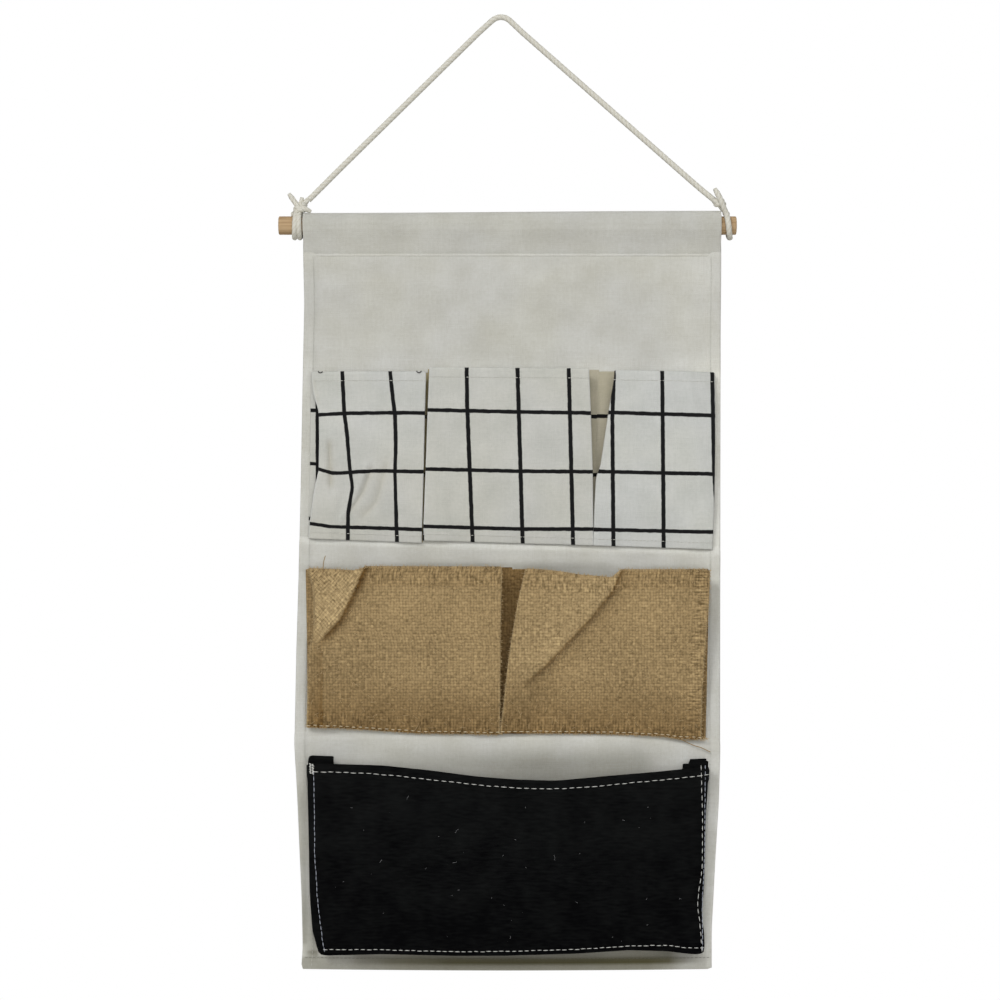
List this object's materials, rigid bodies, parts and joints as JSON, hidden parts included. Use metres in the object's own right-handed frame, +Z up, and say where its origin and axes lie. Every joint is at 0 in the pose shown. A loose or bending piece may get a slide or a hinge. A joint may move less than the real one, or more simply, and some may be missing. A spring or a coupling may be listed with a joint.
{
  "type": "hanging pocket organizer",
  "caption": "Fabric wall organizer on a wooden dowel and cord, with rows of pleated pockets in grid canvas, burlap and black denim.",
  "frame": {"origin": "underside of the hanging cord at its highest point, where it lies on its nail", "axes": "+Z up along the hanging panel, +X to the right of someone facing the pockets, -Y out of the pocket fronts towards that person, +Y into the wall"},
  "size_m": [0.372, 0.0258, 0.7751],
  "materials": {
    "dowel_wood": "matte",
    "cotton_cord": "matte",
    "ivory_canvas": "matte",
    "grid_canvas": "matte",
    "burlap": "matte",
    "black_denim": "matte",
    "white_thread": "matte"
  },
  "bodies": {
    "cord": {"hanging_cord": "cotton_cord", "left_cord_knot": "cotton_cord", "right_cord_knot": "cotton_cord"},
    "panel": {"back_panel": "ivory_canvas", "grid_pleat_left": "grid_canvas", "grid_divider_left": "grid_canvas", "grid_divider_right": "grid_canvas", "grid_pleat_right": "grid_canvas", "grid_hem_left": "grid_canvas", "grid_hem_centre": "grid_canvas", "grid_hem_right": "grid_canvas", "jute_pleat_left": "burlap", "jute_divider": "burlap", "jute_pleat_right": "burlap", "jute_hem_left": "burlap", "jute_hem_right": "burlap", "denim_gusset_left": "black_denim", "denim_gusset_right": "black_denim", "denim_gusset_bottom": "black_denim"},
    "dowel_rod": {"dowel": "dowel_wood"},
    "grid_left_front": {"grid_pocket_left": "grid_canvas"},
    "grid_centre_front": {"grid_pocket_centre": "grid_canvas"},
    "grid_right_front": {"grid_pocket_right": "grid_canvas"},
    "jute_left_front": {"jute_pocket_left": "burlap"},
    "jute_right_front": {"jute_pocket_right": "burlap"},
    "denim_front": {"denim_pocket_front": "black_denim", "denim_gusset_left_front": "black_denim", "denim_gusset_right_front": "black_denim"}
  },
  "joints": [
    {"name": "panel_swing", "type": "hinge", "parent": "cord", "child": "panel", "pos_m": [0.0053, 0, -0.1676], "axis": [-1, 0, 0], "range_deg": [0, 90]},
    {"name": "dowel_pull_out", "type": "slide", "parent": "panel", "child": "dowel_rod", "axis": [1, 0, 0], "range_m": [0, 0.38]},
    {"name": "grid_left_opens", "type": "hinge", "parent": "panel", "child": "grid_left_front", "pos_m": [-0.10835, 0.0043, -0.4251], "axis": [1, 0, 0], "range_deg": [0, 8], "stiffness_Nm_per_rad": 0.03, "springref_deg": -5.73},
    {"name": "grid_centre_opens", "type": "hinge", "parent": "panel", "child": "grid_centre_front", "pos_m": [0.0075, 0.0043, -0.4276], "axis": [1, 0, 0], "range_deg": [0, 8], "stiffness_Nm_per_rad": 0.03, "springref_deg": -5.73},
    {"name": "grid_right_opens", "type": "hinge", "parent": "panel", "child": "grid_right_front", "pos_m": [0.126, 0.0043, -0.4308], "axis": [1, 0, 0], "range_deg": [0, 8], "stiffness_Nm_per_rad": 0.03, "springref_deg": -5.73},
    {"name": "jute_left_opens", "type": "hinge", "parent": "panel", "child": "jute_left_front", "pos_m": [-0.07885, 0.0028, -0.582], "axis": [1, 0, 0], "range_deg": [0, 7], "stiffness_Nm_per_rad": 0.05, "springref_deg": -5.73},
    {"name": "jute_right_opens", "type": "hinge", "parent": "panel", "child": "jute_right_front", "pos_m": [0.08745, 0.0028, -0.5845], "axis": [1, 0, 0], "range_deg": [0, 7], "stiffness_Nm_per_rad": 0.05, "springref_deg": -5.73},
    {"name": "denim_opens", "type": "hinge", "parent": "panel", "child": "denim_front", "pos_m": [0.0063, -0.0062, -0.7597], "axis": [1, 0, 0], "range_deg": [0, 8], "stiffness_Nm_per_rad": 0.1, "springref_deg": -5.73}
  ]
}
